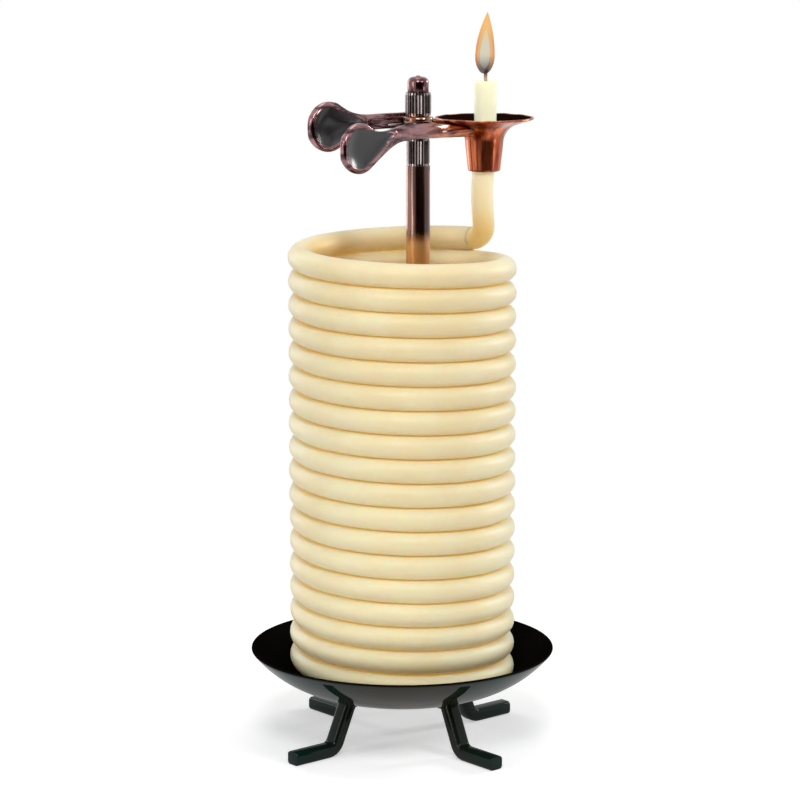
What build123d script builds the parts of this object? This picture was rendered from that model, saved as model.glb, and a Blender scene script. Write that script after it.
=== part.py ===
from build123d import *
import math
import os

# A candle clock: a long wax rope wound into a coil stands in a footed drip dish, and its free end is held
# upright by a squeeze clip on a post. Millimetres. The origin is on the floor under the middle of the dish,
# X runs to the right, Y away from the viewer and Z up.

# Drip dish
RIM_R = 60.7
RIM_Z = 38.3
DISH_FLAT_R = 24.0
DISH_BASE_Z = 21.0  # underside of the flat middle
DISH_SHEET = 1.2
DISH_PASSES = 8  # bands that the wall is spun in

# Legs
LEG_ANGLE = 40.5  # first leg, from +X
LEG_BAR = 5.0  # square bar
LEG_EDGE = 0.8  # flat along each corner of the bar
LEG_TOP_R = 28.5
LEG_HEEL_R = 36.5
LEG_TOE_INSET = 3.7  # toe inside the rim of the dish
LEG_BEND = 5.0
TAB_THICK = 2.0  # end of the bar forged flat under the dish
TAB_WIDTH = 7.0
TAB_LENGTH = 14.0
RIVET_R = 1.5
RIVET_HEAD_R = 2.8
RIVET_HEAD_H = 1.1
RIVET_TAPER = 35

# Post and its screw
POST_X = 6.2
POST_R = 4.75
POST_WALL = 0.8
POST_TOP_Z = 233.2
PLUG_LENGTH = 14.0
SCREW_R = 2.5
SCREW_BITE = 10.0
SCREW_HEAD_R = 4.6
SCREW_HEAD_H = 2.8
SCREW_SLOT = 1.2
WASHER_R = 6.5
WASHER_THICK = 1.0

# Wax rope
ROPE_R = 4.5
ROPE_SIDES = 8
COIL_R = 40.67  # middle of the rope
COIL_PITCH = 9.5
COIL_TURNS = 18
COIL_END_ANGLE = 45.5  # both ends of the coil, from +X
BEND_R = 6.6
TAIL_TOP_Z = 264.4
WICK_R = 0.7
WICK_DEPTH = 12.0
WICK_STRAIGHT = 3.0
WICK_RISE = 9.6
WICK_LEAN = 1.4

# Clip: stem, sleeves and cap
STEM_R = 2.5
SPIGOT_LENGTH = 20.0
LOWER_SLEEVE_R = 4.6
LOWER_SLEEVE_H = 10.7
UPPER_SLEEVE_R = 5.15
UPPER_SLEEVE_H = 8.9
FLUTES = 24
FLUTE_DEPTH = 0.45
COLLAR_H = 0.9  # plain band at each end of the fluting
THRUST_R = 4.5
THRUST_THICK = 0.4
CAP_R = 4.2
CAP_H = 6.6
CAP_DOME_R = 1.2  # the dome's two slopes, outer and inner
CAP_DOME_H = 2.4
CAP_CROWN_R = 1.6
CAP_CROWN_H = 0.7
CAP_SKIN = 2.0  # metal above the end of the stem

# Clip: spring
SPRING_GAP = 3.2  # between the eyes of the two levers
SPRING_R = 4.0
SPRING_WIRE_R = 0.4
SPRING_SIDES = 6
SPRING_PITCH = 1.25
SPRING_TURNS = 1.5
SPRING_LEG = 11.0

# Clip: levers
EYE_R = 6.0
EYE_H = 2.4
ARM_THICK = 2.8
ARM_H = 5.5
REAR_ARM_LIFT = 1.2  # top of the rear arm above its eye
PAD_U = 38.5  # post to the middle of the finger pad
PAD_V = 9.0
PAD_R = 9.7
PAD_RIM = 1.6
PAD_HOLLOW = 0.9
PAD_SLOPE = 50.0
FRONT_PAD_DROP = 4.4
REAR_PAD_DROP = 0.9
NECK_U = 18.4
NECK_BLEND = 14.0
HOLLOW_U = 21.0  # post to the point of the pad's hollow
TIP_H = 3.6
REAR_TIP_DROP = 3.4

# Clip: socket, in two halves
SAUCER_R = 19.8
SAUCER_Z = 250.2
SAUCER_SHEET = 0.9
SAUCER_DEPTH = 4.4
FLARE_R = 9.2
FLARE_H = 4.6
CUP_TOP_R = 7.2
CUP_BOTTOM_R = 6.1
CUP_BOTTOM_Z = 228.6
CUP_EDGE = 0.5
NECK_SPREAD = 0.25  # share of the flare's widening that its lower half takes
SPLIT = 0.3  # between the halves

# Clearances
RUNNING = 0.06  # radial, on what turns or slides
AXIAL = 0.1
PLAY = 0.2  # radial, round the screw
GRIP = 0.35  # radial, rope in the socket
CLEAR = 0.3
COIL_SEAT = 0.15  # lower end of the rope above the dish

GAP_STEPS = 96  # points per turn on which gaps are measured

os.makedirs("parts", exist_ok=True)


def save(piece, name):
    piece.part.label = name
    export_step(piece.part, f"parts/{name}.step")


def polar(radius, angle):
    return radius * math.cos(math.radians(angle)), radius * math.sin(math.radians(angle))


def upright(angle, origin=(0, 0, 0)):
    """A vertical plane whose own X runs out at an angle and whose own Y runs up."""
    out = math.radians(angle)
    return Plane(
        origin=origin,
        x_dir=(math.cos(out), math.sin(out), 0),
        z_dir=(math.sin(out), -math.cos(out), 0),
    )


# Drip dish: a spun pan, flat in the middle, whose wall curves up to the rim in narrow bands along one arc
dish_floor = DISH_BASE_Z + DISH_SHEET
dish_rise = RIM_Z - DISH_BASE_Z
dish_reach = RIM_R - DISH_FLAT_R
dish_arc = (dish_reach**2 + dish_rise**2) / (2 * dish_rise)
rim_slope = math.asin(dish_reach / dish_arc)
pass_slope = rim_slope / DISH_PASSES


def pan_wall(depth):
    """The wall's section at a depth in the metal, from the flat middle to the rim."""
    radius = dish_arc - depth
    slopes = [step * pass_slope for step in range(DISH_PASSES + 1)]
    return [
        (DISH_FLAT_R + radius * math.sin(slope), DISH_BASE_Z + dish_arc - radius * math.cos(slope))
        for slope in slopes
    ]


leg_angles = [LEG_ANGLE + quarter * 90 for quarter in range(4)]
tab_r = LEG_TOP_R + LEG_BAR / 2 - TAB_LENGTH / 2
rivet_r = tab_r - (TAB_LENGTH - TAB_WIDTH) / 2
rivet_places = [polar(rivet_r, angle) for angle in leg_angles]

with BuildPart() as drip_dish:
    with BuildSketch(Plane.XZ):
        with BuildLine():
            Polyline(
                (0, DISH_BASE_Z),
                *pan_wall(0),
                *reversed(pan_wall(DISH_SHEET)),
                (0, dish_floor),
                close=True,
            )
        make_face()
    revolve(axis=Axis.Z)
    with Locations((POST_X, 0, dish_floor)):
        Hole(SCREW_R + PLAY, depth=2 * DISH_SHEET)
    with Locations([(x, y, dish_floor) for x, y in rivet_places]):
        Hole(RIVET_R, depth=2 * DISH_SHEET)
save(drip_dish, "drip_dish")

# All that lies above the underside of the dish, which the tops of the legs are trimmed against
with BuildPart() as above_dish:
    with BuildSketch(Plane.XZ):
        with BuildLine():
            Polyline((0, DISH_BASE_Z), *pan_wall(0), (0, RIM_Z), close=True)
        make_face()
    revolve(axis=Axis.Z)

# Legs: square bar bent out to a foot, its top end forged flat into a tab under the dish
tab_z = DISH_BASE_Z - TAB_THICK
toe_r = RIM_R - LEG_TOE_INSET
for side, angle in zip(["rear_right", "rear_left", "front_left", "front_right"], leg_angles):
    radial = upright(angle)
    with BuildPart() as leg:
        with BuildLine(radial) as bar_line:
            FilletPolyline(
                (LEG_TOP_R, DISH_BASE_Z + DISH_SHEET),
                (LEG_HEEL_R, LEG_BAR / 2),
                (toe_r, LEG_BAR / 2),
                radius=LEG_BEND,
            )
        with BuildSketch(Plane(bar_line.line @ 0, x_dir=radial.z_dir, z_dir=bar_line.line % 0)) as bar:
            Rectangle(LEG_BAR, LEG_BAR)
            chamfer(bar.vertices(), LEG_EDGE)
        sweep(path=bar_line.line)
        toe = leg.faces().sort_by(Axis((0, 0, 0), radial.x_dir))[-1]
        chamfer(toe.edges(), LEG_EDGE / 2)
        with BuildSketch(Plane.XY.offset(tab_z)):
            with PolarLocations(tab_r, 1, start_angle=angle):
                SlotOverall(TAB_LENGTH, TAB_WIDTH)
        extrude(amount=TAB_THICK)
        with Locations((*polar(rivet_r, angle), DISH_BASE_Z)):
            Hole(RIVET_R, depth=2 * TAB_THICK)
        add(above_dish.part, mode=Mode.SUBTRACT)
    save(leg, f"leg_{side}")

# Rivets through the dish and the tabs, with a low round head at each end
with BuildPart() as leg_rivets:
    for x, y in rivet_places:
        with BuildSketch(Plane((x, y, tab_z))):
            Circle(RIVET_R)
        extrude(amount=TAB_THICK + DISH_SHEET)
        with BuildSketch(Plane((x, y, dish_floor))):
            Circle(RIVET_HEAD_R)
        extrude(amount=RIVET_HEAD_H, taper=RIVET_TAPER)
        with BuildSketch(Plane((x, y, tab_z))):
            Circle(RIVET_HEAD_R)
        extrude(amount=-RIVET_HEAD_H, taper=RIVET_TAPER)
save(leg_rivets, "leg_rivets")

# Post: a thin tube closed at the foot by a threaded plug, drawn down by one screw from below
post = Plane((POST_X, 0, 0))
bore_r = POST_R - POST_WALL
with BuildPart() as post_tube:
    with BuildSketch(post.offset(dish_floor)):
        Circle(POST_R)
        Circle(bore_r, mode=Mode.SUBTRACT)
    extrude(amount=POST_TOP_Z - dish_floor)
save(post_tube, "post_tube")

with BuildPart() as post_plug:
    with BuildSketch(post.offset(dish_floor)):
        Circle(bore_r)
        Circle(SCREW_R, mode=Mode.SUBTRACT)
    extrude(amount=SCREW_BITE)
    with BuildSketch(post.offset(dish_floor + SCREW_BITE)):
        Circle(bore_r)
    extrude(amount=PLUG_LENGTH - SCREW_BITE)
    chamfer(post_plug.edges().sort_by(Axis.Z)[-1], POST_WALL / 2)
save(post_plug, "post_plug")

with BuildPart() as screw_washer:
    with BuildSketch(post.offset(DISH_BASE_Z)):
        Circle(WASHER_R)
        Circle(SCREW_R + PLAY, mode=Mode.SUBTRACT)
    extrude(amount=-WASHER_THICK)
save(screw_washer, "screw_washer")

head_z = DISH_BASE_Z - WASHER_THICK
with BuildPart() as post_screw:
    with BuildSketch(post.offset(head_z)):
        Circle(SCREW_R)
    extrude(amount=dish_floor + SCREW_BITE - head_z)
    with BuildSketch(post.offset(head_z)):
        Circle(SCREW_HEAD_R)
    extrude(amount=-SCREW_HEAD_H)
    chamfer(post_screw.edges().sort_by(Axis.Z)[0], SCREW_HEAD_H / 2)
    with BuildSketch(post.offset(head_z - SCREW_HEAD_H)):
        Rectangle(2 * SCREW_HEAD_R, SCREW_SLOT)
    extrude(amount=SCREW_HEAD_H / 2, mode=Mode.SUBTRACT)
save(post_screw, "post_screw")


class Winding:
    """A helix about an upright axis, drawn as half turns of two arcs each. Hand 1 climbs anticlockwise."""

    def __init__(self, centre, radius, pitch, start_angle, base_z, hand):
        self.centre = Vector(*centre)
        self.radius = radius
        self.pitch = pitch
        self.start_angle = start_angle
        self.base_z = base_z
        self.hand = hand

    def angle(self, turns):
        return math.radians(self.start_angle + self.hand * 360 * turns)

    def outward(self, turns):
        return Vector(math.cos(self.angle(turns)), math.sin(self.angle(turns)), 0)

    def point(self, turns):
        height = Vector(0, 0, self.base_z + self.pitch * turns)
        return self.centre + self.outward(turns) * self.radius + height

    def heading(self, turns):
        level = Vector(-math.sin(self.angle(turns)), math.cos(self.angle(turns)), 0) * self.hand
        return (level * (2 * math.pi * self.radius) + Vector(0, 0, self.pitch)).normalized()

    def half_turn(self, turns):
        start, end = self.point(turns), self.point(turns + 0.5)
        leaving, arriving = self.heading(turns), self.heading(turns + 0.5)
        chord = end - start
        both = leaving + arriving
        square = 2 * (leaving.dot(arriving) - 1)
        linear = -2 * chord.dot(both)
        reach = (-linear - math.sqrt(linear**2 - 4 * square * chord.dot(chord))) / (2 * square)
        middle = (start + leaving * reach + end - arriving * reach) * 0.5
        first = TangentArc(start, middle, tangent=leaving)
        TangentArc(middle, end, tangent=first % 1)

    def draw(self, turns):
        for half in range(round(2 * turns)):
            self.half_turn(half / 2)

    def least_gap(self, turns, tube_r):
        """Least gap of the wound tube to itself, measured on points of its middle line."""
        points = [self.point(step / GAP_STEPS) for step in range(round(turns * GAP_STEPS) + 1)]
        pairs = (
            (near, far)
            for index, near in enumerate(points)
            for far in points[index + GAP_STEPS // 2 : index + 3 * GAP_STEPS // 2]
        )
        return min((near - far).length for near, far in pairs) - 2 * tube_r

    def section(self):
        return Plane(self.point(0), x_dir=self.outward(0), z_dir=self.heading(0))


# Wax coil: the lower end of the rope rests on the wall of the dish, and the turns climb clockwise
rope_flat = ROPE_R * math.cos(math.pi / ROPE_SIDES)
rest_arc = (dish_arc - DISH_SHEET) * math.cos(pass_slope / 2) - rope_flat - COIL_SEAT
coil_base_z = DISH_BASE_Z + dish_arc - math.sqrt(rest_arc**2 - (COIL_R - DISH_FLAT_R) ** 2)
coil = Winding((0, 0), COIL_R, COIL_PITCH, COIL_END_ANGLE, coil_base_z, -1)
with BuildPart() as wax_coil:
    with BuildLine() as coil_line:
        coil.draw(COIL_TURNS)
    with BuildSketch(coil.section()) as rope:
        RegularPolygon(ROPE_R, ROPE_SIDES)
    rope_area = rope.sketch.area
    sweep(path=coil_line.line)
save(wax_coil, "wax_coil")
print("length of the coil:", round(sum(edge.length for edge in coil_line.line.edges())))
print("volume of the coil over its section:", round(wax_coil.part.volume / rope_area))
print("least gap between turns of the coil:", round(coil.least_gap(COIL_TURNS, ROPE_R), 3))

# Wax tail: the rope leaves the top of the coil, bends upright and runs up through the socket of the clip
coil_end = coil.point(COIL_TURNS)
coil_exit = coil.heading(COIL_TURNS)
tail_foot = coil_end + coil_exit * BEND_R
socket_x, socket_y = tail_foot.X, tail_foot.Y
with BuildPart() as wax_tail:
    with BuildLine() as tail_line:
        FilletPolyline(coil_end, tail_foot, (socket_x, socket_y, TAIL_TOP_Z), radius=BEND_R)
    sweep(sections=wax_coil.faces().filter_by(GeomType.PLANE).sort_by(Axis.Z)[-1], path=tail_line.line)
    with Locations((socket_x, socket_y, TAIL_TOP_Z)):
        Hole(WICK_R, depth=WICK_DEPTH)
save(wax_tail, "wax_tail")
print("length of the tail:", round(sum(edge.length for edge in tail_line.line.edges())))

with BuildPart() as wick:
    with BuildLine() as wick_line:
        FilletPolyline(
            (socket_x, socket_y, TAIL_TOP_Z - WICK_DEPTH),
            (socket_x, socket_y, TAIL_TOP_Z + WICK_STRAIGHT),
            (socket_x + WICK_LEAN, socket_y, TAIL_TOP_Z + WICK_RISE),
            radius=WICK_RISE - WICK_STRAIGHT,
        )
    with BuildSketch(Plane(wick_line.line @ 0)):
        Circle(WICK_R)
    sweep(path=wick_line.line)
save(wick, "wick")

# Clip: everything on it stacks up the stem, from the top of the post to the cap
clip_angle = math.degrees(math.atan2(socket_y, socket_x - POST_X))
socket_u = math.hypot(socket_x - POST_X, socket_y)
clip = Plane((POST_X, 0, 0), x_dir=(*polar(1, clip_angle), 0))
lower_washer_z = POST_TOP_Z + LOWER_SLEEVE_H
front_eye_z = lower_washer_z + THRUST_THICK + AXIAL
rear_eye_z = front_eye_z + EYE_H + SPRING_GAP
upper_washer_z = rear_eye_z + EYE_H + AXIAL
upper_sleeve_z = upper_washer_z + THRUST_THICK
cap_z = upper_sleeve_z + UPPER_SLEEVE_H
stem_top_z = cap_z + CAP_H - CAP_SKIN

with BuildPart() as pivot_stem:
    with BuildSketch(post.offset(POST_TOP_Z)):
        Circle(bore_r - RUNNING)
    extrude(amount=-SPIGOT_LENGTH)
    chamfer(pivot_stem.edges().sort_by(Axis.Z)[0], POST_WALL)
    with BuildSketch(post.offset(POST_TOP_Z)):
        Circle(STEM_R)
    extrude(amount=stem_top_z - POST_TOP_Z)
save(pivot_stem, "pivot_stem")


def fluted_sleeve(name, radius, base_z, height):
    """A sleeve with V flutes cut down it between two plain collars."""
    ridges = [
        polar(radius - FLUTE_DEPTH * (corner % 2), corner * 180 / FLUTES) for corner in range(2 * FLUTES)
    ]
    with BuildPart() as sleeve:
        for collar_z in (base_z, base_z + height - COLLAR_H):
            with BuildSketch(post.offset(collar_z)):
                Circle(radius - FLUTE_DEPTH / 2)
            extrude(amount=COLLAR_H)
        with BuildSketch(post.offset(base_z + COLLAR_H)):
            with BuildLine():
                Polyline(*ridges, close=True)
            make_face()
        extrude(amount=height - 2 * COLLAR_H)
        with Locations((POST_X, 0, base_z + height)):
            Hole(STEM_R, depth=height)
    save(sleeve, name)


fluted_sleeve("lower_sleeve", LOWER_SLEEVE_R, POST_TOP_Z, LOWER_SLEEVE_H)
fluted_sleeve("upper_sleeve", UPPER_SLEEVE_R, upper_sleeve_z, UPPER_SLEEVE_H)

with BuildPart() as thrust_washers:
    for washer_z in (lower_washer_z, upper_washer_z):
        with BuildSketch(post.offset(washer_z)):
            Circle(THRUST_R)
            Circle(STEM_R, mode=Mode.SUBTRACT)
        extrude(amount=THRUST_THICK)
save(thrust_washers, "thrust_washers")

with BuildPart() as dome_cap:
    with BuildSketch(post.offset(cap_z)):
        Circle(CAP_R)
    extrude(amount=CAP_H)
    chamfer(dome_cap.edges().sort_by(Axis.Z)[-1], CAP_DOME_H, CAP_DOME_R)
    chamfer(dome_cap.edges().sort_by(Axis.Z)[-1], CAP_CROWN_H, CAP_CROWN_R)
    with BuildSketch(post.offset(cap_z)):
        Circle(STEM_R)
    extrude(amount=CAP_H - CAP_SKIN, mode=Mode.SUBTRACT)
save(dome_cap, "dome_cap")

# Torsion spring: wound round the stem between the eyes, one leg bowed out against the inside of each lever
arm_v = UPPER_SLEEVE_R + CLEAR + ARM_THICK / 2
splay = math.degrees(math.atan2(PAD_V - arm_v, PAD_U))
along = Vector(*polar(1, clip_angle))
across = Vector(*polar(1, clip_angle + 90))
spring_rise = SPRING_PITCH * SPRING_TURNS
spring_z = front_eye_z + EYE_H + (SPRING_GAP - spring_rise) / 2
spring = Winding((POST_X, 0), SPRING_R, SPRING_PITCH, clip_angle - 90, spring_z, 1)
leg_v = arm_v + SPRING_LEG * math.tan(math.radians(splay)) - ARM_THICK / 2 - SPRING_WIRE_R - AXIAL
low_end, high_end = spring.point(0), spring.point(SPRING_TURNS)
low_tip = low_end - along * SPRING_LEG - across * (leg_v - SPRING_R)
high_tip = high_end - along * SPRING_LEG + across * (leg_v - SPRING_R)
with BuildPart() as torsion_spring:
    with BuildLine() as spring_line:
        low_leg = TangentArc(low_end, low_tip, tangent=spring.heading(0) * -1)
        spring.draw(SPRING_TURNS)
        TangentArc(high_end, high_tip, tangent=spring.heading(SPRING_TURNS))
    with BuildSketch(Plane(low_tip, x_dir=(0, 0, 1), z_dir=(low_leg % 1) * -1)):
        RegularPolygon(SPRING_WIRE_R, SPRING_SIDES)
    sweep(path=spring_line.line)
save(torsion_spring, "torsion_spring")
print("least gap between turns of the spring:", round(spring.least_gap(SPRING_TURNS, SPRING_WIRE_R), 3))

# Socket: a cup under a shallow saucer, bored to grip the rope and split along the clip
socket_axis = Axis((socket_x, socket_y, 0), (0, 0, 1))
socket_plane = upright(clip_angle, (socket_x, socket_y, 0))
grip_r = ROPE_R + GRIP
saucer_floor_z = SAUCER_Z - SAUCER_DEPTH
saucer_pitch = SAUCER_DEPTH / (SAUCER_R - grip_r)
flare_z = saucer_floor_z + (FLARE_R - grip_r) * saucer_pitch - SAUCER_SHEET
cup_top_z = flare_z - FLARE_H
socket_outside = [
    (CUP_BOTTOM_R, CUP_BOTTOM_Z),
    (CUP_TOP_R, cup_top_z),
    (CUP_TOP_R + (FLARE_R - CUP_TOP_R) * NECK_SPREAD, cup_top_z + FLARE_H / 2),
    (FLARE_R, flare_z),
    (SAUCER_R, SAUCER_Z - SAUCER_SHEET),
    (SAUCER_R, SAUCER_Z),
]

for side, v_sign in (("front", -1), ("rear", 1)):
    parting = Plane(
        Vector(socket_x, socket_y, 0) + across * (v_sign * SPLIT / 2), x_dir=along, z_dir=across * v_sign
    )
    with BuildPart() as socket_half:
        with BuildSketch(socket_plane):
            with BuildLine():
                Polyline(*socket_outside, (grip_r, saucer_floor_z), (grip_r, CUP_BOTTOM_Z), close=True)
            make_face()
        revolve(axis=socket_axis)
        chamfer(socket_half.edges().group_by(Axis.Z)[0].sort_by(SortBy.RADIUS)[-1], CUP_EDGE)
        split(bisect_by=parting, keep=Keep.TOP)
    save(socket_half, f"{side}_socket_half")

# All that the socket and what it holds take up, which the arms of the levers are trimmed against
with BuildPart() as socket_space:
    with BuildSketch(socket_plane):
        with BuildLine():
            Polyline(
                *socket_outside,
                (SAUCER_R, SAUCER_Z + ARM_H),
                (0, SAUCER_Z + ARM_H),
                (0, CUP_BOTTOM_Z),
                close=True,
            )
        make_face()
    revolve(axis=socket_axis)


def lever(name, v_sign, eye_z, arm_z, pad_drop, tip_drop):
    """A flat cast lever: finger pad, arm beside the post, eye on the stem and tip under the saucer."""
    arm_mid_z = arm_z + ARM_H / 2
    arm_top_z = arm_z + ARM_H
    foot = clip.from_local_coords(Vector(0, v_sign * arm_v, 0))
    tip_u = socket_u - math.sqrt(FLARE_R**2 - arm_v**2)
    tip_z = arm_mid_z - TIP_H / 2 - tip_drop
    outer = upright(clip_angle + 180 - v_sign * splay, foot)
    pad_place = (math.hypot(PAD_U, PAD_V - arm_v), arm_mid_z - pad_drop)
    with BuildPart() as piece:
        with BuildSketch(outer) as outline:
            with Locations(pad_place):
                Circle(PAD_R)
            with BuildLine():
                Line((NECK_U, arm_z), (NECK_U, arm_top_z))
            make_hull()
            with Locations((NECK_U / 2, arm_mid_z)):
                Rectangle(NECK_U, ARM_H)
            necks = outline.vertices().filter_by_position(Axis.X, NECK_U - AXIAL, NECK_U + AXIAL)
            fillet(necks, NECK_BLEND)
        extrude(amount=ARM_THICK / 2, both=True)
        for face_sign in (-1, 1):
            with BuildSketch(outer.offset(face_sign * ARM_THICK / 2)):
                with Locations(pad_place):
                    Circle(PAD_R - PAD_RIM)
                with BuildLine():
                    Line((HOLLOW_U, arm_mid_z), (HOLLOW_U, arm_mid_z + PAD_HOLLOW))
                make_hull()
            extrude(amount=-face_sign * PAD_HOLLOW, taper=PAD_SLOPE, mode=Mode.SUBTRACT)
        with BuildSketch(upright(clip_angle, foot)):
            with BuildLine():
                Polyline((0, arm_z), (tip_u, tip_z), (tip_u, tip_z + TIP_H), (0, arm_top_z), close=True)
            make_face()
        extrude(amount=ARM_THICK / 2, both=True)
        with BuildSketch(clip.offset(eye_z)):
            Circle(EYE_R)
            with Locations((0, v_sign * arm_v / 2)):
                Rectangle(2 * EYE_R, arm_v)
            Circle(STEM_R + RUNNING, mode=Mode.SUBTRACT)
        extrude(amount=EYE_H)
        add(socket_space.part, mode=Mode.SUBTRACT)
    save(piece, name)


lever("front_lever", -1, front_eye_z, front_eye_z, FRONT_PAD_DROP, 0)
rear_arm_z = rear_eye_z + EYE_H + REAR_ARM_LIFT - ARM_H
lever("rear_lever", 1, rear_eye_z, rear_arm_z, REAR_PAD_DROP, REAR_TIP_DROP)
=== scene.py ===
import math

import bmesh
import bpy
from mathutils import Matrix, Vector, noise


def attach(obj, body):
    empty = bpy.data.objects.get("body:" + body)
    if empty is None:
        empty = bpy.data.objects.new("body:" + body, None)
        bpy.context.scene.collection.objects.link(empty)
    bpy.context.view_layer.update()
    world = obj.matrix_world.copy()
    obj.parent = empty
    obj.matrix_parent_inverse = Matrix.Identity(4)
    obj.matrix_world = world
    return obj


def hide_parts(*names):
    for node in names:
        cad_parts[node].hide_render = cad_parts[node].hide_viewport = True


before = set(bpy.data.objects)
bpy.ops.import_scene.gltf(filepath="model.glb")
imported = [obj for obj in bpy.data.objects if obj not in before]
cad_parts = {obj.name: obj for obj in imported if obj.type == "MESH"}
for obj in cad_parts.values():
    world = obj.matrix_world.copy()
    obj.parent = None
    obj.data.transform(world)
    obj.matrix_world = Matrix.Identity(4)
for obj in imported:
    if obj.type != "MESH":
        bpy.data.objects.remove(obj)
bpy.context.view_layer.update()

# A candle clock: coiled wax rope in a footed black dish, its free end held by a copper squeeze clip.
# Sizes in millimetres follow the solids and are turned into metres by MM.
MM = 0.001

MERGE = 0.0005  # points closer than this become one

# Dish and legs
RIM_R, RIM_Z = 60.7, 38.3
DISH_FLAT_R, DISH_BASE_Z, DISH_SHEET = 24.0, 21.0, 1.2
LEG_ANGLES = {"rear_right": 40.5, "rear_left": 130.5, "front_left": 220.5, "front_right": 310.5}
LEG_WIDE, LEG_BAR, LEG_ROUND, LEG_BEND = 6.4, 5.4, 1.5, 5.0
LEG_TOP_R, LEG_HEEL_R, LEG_TOE_R = 28.5, 36.5, 57.0
LEG_SINK, TOE_BEVEL = 0.3, 0.6
TAB_R, TAB_LENGTH, TAB_WIDTH, TAB_THICK = 24.0, 14.0, 7.0, 2.0
REFLECTION_GLAZE_X = (5, 42)  # from the middle, where the painted brown reflection of the floor gives way to the green enamel
LEG_SHINE = 0.65

# Wax rope, whose turns touch here and stand apart in the solids
ROPE_R, COIL_R, COIL_PITCH, COIL_TURNS, COIL_END_ANGLE = 4.73, 40.46, 9.5, 18, 45.5
CAD_COIL_R, BEND_R, TAIL_TOP_Z = 40.67, 6.6, 264.4
COIL_BASE_Z = 29.88
ROPE_SIDES, COIL_STEPS, TAIL_STEPS = 28, 84, 24
ROPE_WOBBLE, WOBBLE_SCALE, WOBBLE_FLATTEN = 0.22, 0.05, 2.2
TAIL_R, LEAN, LEAN_Z, LEAN_SPAN = 4.45, 1.15, 219, 13
TIP_STEPS = ((0.5, 0.25), (0.8, -0.5), (1.5, -0.5))  # inset and lift of each ring of the melted tip
TIP_WAVE = 0.35
BEND_GLOW_Z, BEND_GLOW_SPAN = 3, 22  # height above the coil's end, and span, of the painted glow in the bend
FREE_SHARE, FREE_RISE = 0.8, 6  # how much of the last turn has nothing above it, and its height

# Clip
POST_X, POST_REFLECTION_Z, FLUTES = 6.2, 205, 24
FRONT_EYE_Z, REAR_EYE_Z, EYE_H = 244.4, 250.0, 2.4
CAP_Z, CAP_R, CAP_H, CAP_SHOULDER, CAP_BORE_R = 261.8, 4.2, 6.6, 2.4, 2.5
ARM_V, TIP_V, ARM_H, TIP_H, ARM_THICK = 6.85, 1.7, 6.1, 3.6, 2.8
PAD_U, PAD_V, PAD_R, NECK_U, HOLLOW_U = 38.5, 9.0, 9.7, 18.4, 21.0
NECK_START_U = NECK_U - 5  # where the arm begins to widen towards the pad
NECK_ANGLE = 125  # on the pad's edge, where it runs into the neck
TIP_SHORT = 9.5  # the tip ends this far from the socket's axis
PAD_RIM, BOWL_SPAN = 1.7, 6
BEADS = ((0.2, -1.2, 0.35), (0.14, -0.2, 0.25))  # height, place and width of each raised line on the rim
EYE_BORE_R, EYE_R, EYE_EDGE = 2.56, 6.0, 0.3
SIDE_SIGN = {"front": -1, "rear": 1}  # side of the clip's middle plane
FRONT_ARM_LIFT, FRONT_PAD_DROP, FRONT_TIP_DROP = 2.9, 4.55, 2.4
REAR_ARM_LIFT, REAR_PAD_DROP, REAR_TIP_DROP = 0.7, 0.75, 5.6
LEVER_GRID, LEVER_MERGE = (300, 150), 0.004
PAD_GRID_SHARE = 0.12  # of the lever's length at its pad end, where the points stand closer
ARM_SQUARE, SECTION_SPAN = 3.2, 8  # how square the arm's section is, and its run into the pad's
END_ROUND = 1.2  # the pad's outer end is rounded over this length
CAST_RIPPLE, RIPPLE_FADE = 0.4, 1.5  # unevenness of the casting, and its distance from the hollow
SAUCER_R, SAUCER_Z, SAUCER_DEPTH, SAUCER_SHEET = 19.8, 250.2, 4.4, 0.9
LINED_R = 19  # the saucer's dark inside ends here
CUP_TOP_R, CUP_BOTTOM_R, CUP_BOTTOM_Z, FLARE_BEND = 7.55, 6.4, 228.6, 8.0
RIM_WAVE, LIP_R = 0.3, 0.45  # the saucer's rim is a little uneven, and rounded
GRIP_R, SPLIT, CUP_SHIFT = 4.85, 0.3, 0.4

# Flame
FLAME_BASE_Z, FLAME_TIP_Z, FLAME_WIDE = 267.2, 292.0, 0.28
FLAME_LEAN, FLAME_SHIFT, FLAME_STEPS = 1.15, 0.4, 40


def polar(radius, angle):
    """A point on the floor at a radius and an angle in degrees from +X."""
    turn = math.radians(angle)
    return Vector((radius * math.cos(turn), radius * math.sin(turn), 0))


COIL_TOP_Z = COIL_BASE_Z + COIL_PITCH * COIL_TURNS
SOCKET = polar(CAD_COIL_R, COIL_END_ANGLE) + polar(BEND_R, COIL_END_ANGLE - 90)
POST = Vector((POST_X, 0, 0))
CLIP_ANGLE = math.degrees(math.atan2(SOCKET.y, SOCKET.x - POST_X))
SOCKET_U = (SOCKET - POST).length
ALONG, ACROSS = polar(1, CLIP_ANGLE), polar(1, CLIP_ANGLE + 90)


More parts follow.
